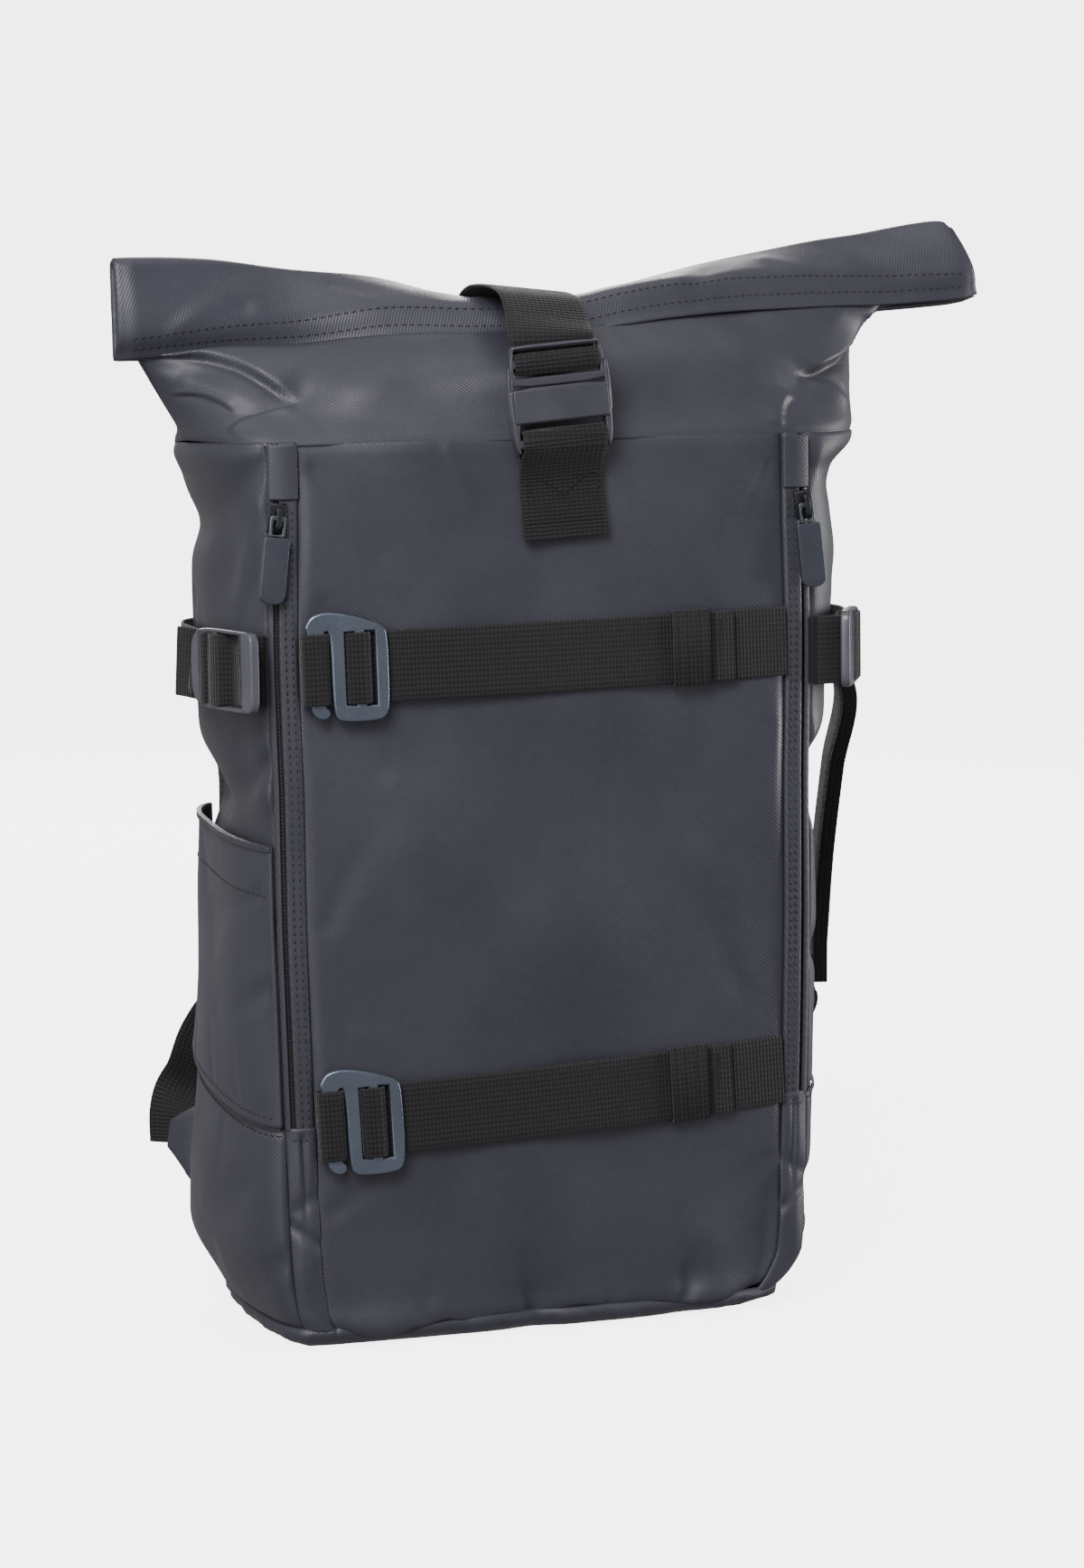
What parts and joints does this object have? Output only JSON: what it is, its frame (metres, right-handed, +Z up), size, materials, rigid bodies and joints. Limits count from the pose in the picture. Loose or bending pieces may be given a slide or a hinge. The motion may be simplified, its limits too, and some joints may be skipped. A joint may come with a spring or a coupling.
{
  "type": "rolltop backpack",
  "caption": "Rolltop backpack closed with a centre buckle, with two zipped sides, hooked front straps, side straps, a side pocket, shoulder straps and a grab handle.",
  "frame": {"origin": "centre of the flat underside of the base, on the floor", "axes": "+Z up, -Y towards the front panel, +X to the right of someone who faces the front"},
  "size_m": [0.409, 0.2164, 0.496],
  "materials": {
    "coated_cloth": "coated twill, soft satin",
    "zip_tape": "coated tape, satin",
    "webbing": "ribbed webbing, matte",
    "hook_metal": "slate blue-grey, satin",
    "zip_metal": "dark, gloss",
    "elastic": "ribbed elastic, matte",
    "buckle_plastic": "fine texture, matte",
    "pull_rubber": "moulded, satin",
    "padding": "woven mesh, matte"
  },
  "bodies": {
    "bag": {"front_panel": "coated_cloth", "side_left": "coated_cloth", "side_right": "coated_cloth", "boot_left": "coated_cloth", "boot_right": "coated_cloth", "zip_flap_left": "coated_cloth", "zip_flap_right": "coated_cloth", "base": "coated_cloth", "roll_top": "coated_cloth", "collar_front": "coated_cloth", "collar_back": "coated_cloth", "garage_left": "coated_cloth", "garage_right": "coated_cloth", "pocket_left": "coated_cloth", "wing_left": "coated_cloth", "wing_right": "coated_cloth", "zip_left": "zip_tape", "zip_right": "zip_tape", "front_strap_upper": "webbing", "front_strap_lower": "webbing", "hook_loop_upper": "webbing", "hook_loop_lower": "webbing", "closure_strap_lower": "webbing", "closure_strap_upper": "webbing", "side_strap_front_left": "webbing", "side_strap_back_left": "webbing", "side_strap_front_right": "webbing", "side_strap_back_right": "webbing", "shoulder_web_left": "webbing", "shoulder_web_right": "webbing", "grab_handle": "webbing", "hook_upper": "hook_metal", "hook_lower": "hook_metal", "slider_left": "zip_metal", "slider_right": "zip_metal", "bail_left": "zip_metal", "bail_right": "zip_metal", "keeper_upper": "elastic", "keeper_lower": "elastic", "buckle_upper": "buckle_plastic", "buckle_lower": "buckle_plastic", "side_buckle_left": "buckle_plastic", "side_buckle_right": "buckle_plastic", "back_panel": "padding", "shoulder_pad_left": "padding", "shoulder_pad_right": "padding"},
    "pull_left": {"zip_link_left": "zip_metal", "zip_pull_left": "pull_rubber"},
    "pull_right": {"zip_link_right": "zip_metal", "zip_pull_right": "pull_rubber"}
  },
  "joints": [
    {"name": "pull_left_swing", "type": "hinge", "parent": "bag", "child": "pull_left", "pos_m": [-0.1219, -0.07575, 0.368], "axis": [-0.9945, 0, 0.1045], "range_deg": [0, 150]},
    {"name": "pull_right_swing", "type": "hinge", "parent": "bag", "child": "pull_right", "pos_m": [0.1219, -0.07575, 0.368], "axis": [-0.9945, 0, -0.1045], "range_deg": [0, 150]}
  ]
}
